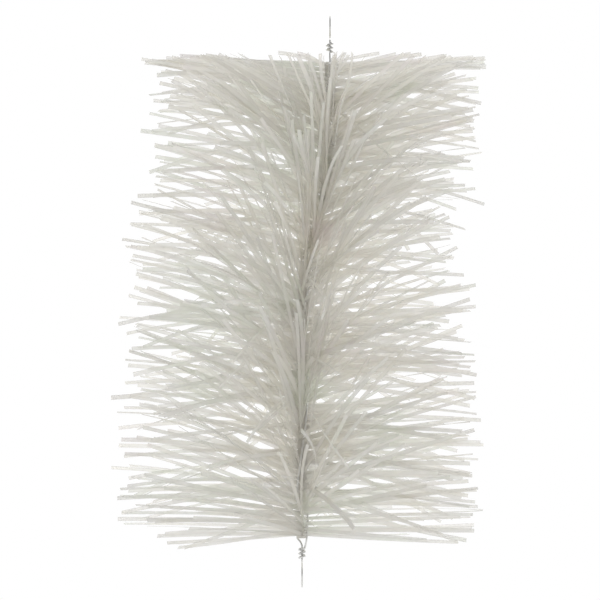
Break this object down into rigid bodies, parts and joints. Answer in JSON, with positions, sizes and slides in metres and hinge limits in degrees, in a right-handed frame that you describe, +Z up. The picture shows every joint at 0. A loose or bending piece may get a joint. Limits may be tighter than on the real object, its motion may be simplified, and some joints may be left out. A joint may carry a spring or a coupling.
{
  "type": "tinsel garland",
  "caption": "Round fluffy tinsel garland: slit plastic-film fringe all round a twisted two-wire core that bends and keeps its bend, with a wire hanging eye at each end.",
  "frame": {"origin": "the highest point inside the top hanging eye, where it bears on its hook", "axes": "+Z up along the hanging garland; -Y is the front that the camera sees; +X to its right"},
  "size_m": [0.1083, 0.1002, 0.169],
  "materials": {
    "film": "thin pearl-white film, translucent, soft gloss",
    "core_wire": "bright drawn wire"
  },
  "bodies": {
    "stretch_1": {"core_wire_a_1": "core_wire", "core_wire_b_1": "core_wire", "film_1_1": "film", "film_2_1": "film", "film_3_1": "film", "film_4_1": "film", "film_5_1": "film", "film_6_1": "film"},
    "stretch_2": {"core_wire_a_2": "core_wire", "core_wire_b_2": "core_wire", "film_1_2": "film", "film_2_2": "film", "film_3_2": "film", "film_4_2": "film", "film_5_2": "film", "film_6_2": "film"},
    "stretch_3": {"core_wire_a_3": "core_wire", "core_wire_b_3": "core_wire", "film_1_3": "film", "film_2_3": "film", "film_3_3": "film", "film_4_3": "film", "film_5_3": "film", "film_6_3": "film"},
    "stretch_4": {"core_wire_a_4": "core_wire", "core_wire_b_4": "core_wire", "film_1_4": "film", "film_2_4": "film", "film_3_4": "film", "film_4_4": "film", "film_5_4": "film", "film_6_4": "film"},
    "stretch_5": {"core_wire_a_5": "core_wire", "core_wire_b_5": "core_wire", "film_1_5": "film", "film_2_5": "film", "film_3_5": "film", "film_4_5": "film", "film_5_5": "film", "film_6_5": "film"},
    "stretch_6": {"core_wire_a_6": "core_wire", "core_wire_b_6": "core_wire", "film_1_6": "film", "film_2_6": "film", "film_3_6": "film", "film_4_6": "film", "film_5_6": "film", "film_6_6": "film"},
    "stretch_7": {"core_wire_a_7": "core_wire", "core_wire_b_7": "core_wire", "film_1_7": "film", "film_2_7": "film", "film_3_7": "film", "film_4_7": "film", "film_5_7": "film", "film_6_7": "film"}
  },
  "joints": [
    {"name": "bend_1", "type": "hinge", "parent": "stretch_1", "child": "stretch_2", "pos_m": [0, 0, -0.0339], "axis": [0, 1, 0], "range_deg": [-30, 30], "deforming": ["film_1_1", "film_2_1", "film_3_1", "film_4_1", "film_5_1", "film_6_1", "film_1_2", "film_2_2", "film_3_2", "film_4_2", "film_5_2", "film_6_2"]},
    {"name": "bend_2", "type": "hinge", "parent": "stretch_2", "child": "stretch_3", "pos_m": [-0.00186, 0, -0.0539], "axis": [1, 0, 0], "range_deg": [-30, 30], "deforming": ["film_1_3", "film_2_3", "film_3_3", "film_4_3", "film_5_3", "film_6_3"]},
    {"name": "bend_3", "type": "hinge", "parent": "stretch_3", "child": "stretch_4", "pos_m": [-0.00695, 0, -0.0739], "axis": [0, 1, 0], "range_deg": [-30, 30], "deforming": ["film_1_4", "film_2_4", "film_3_4", "film_4_4", "film_5_4", "film_6_4"]},
    {"name": "bend_4", "type": "hinge", "parent": "stretch_4", "child": "stretch_5", "pos_m": [-0.0082, 0, -0.0939], "axis": [1, 0, 0], "range_deg": [-30, 30], "deforming": ["film_1_5", "film_2_5", "film_3_5", "film_4_5", "film_5_5", "film_6_5"]},
    {"name": "bend_5", "type": "hinge", "parent": "stretch_5", "child": "stretch_6", "pos_m": [-0.0082, 0, -0.1139], "axis": [0, 1, 0], "range_deg": [-30, 30], "deforming": ["film_1_6", "film_2_6", "film_3_6", "film_4_6", "film_5_6", "film_6_6"]},
    {"name": "bend_6", "type": "hinge", "parent": "stretch_6", "child": "stretch_7", "pos_m": [-0.0082, 0, -0.1339], "axis": [1, 0, 0], "range_deg": [-30, 30], "deforming": ["film_1_7", "film_2_7", "film_3_7", "film_4_7", "film_5_7", "film_6_7"]}
  ]
}
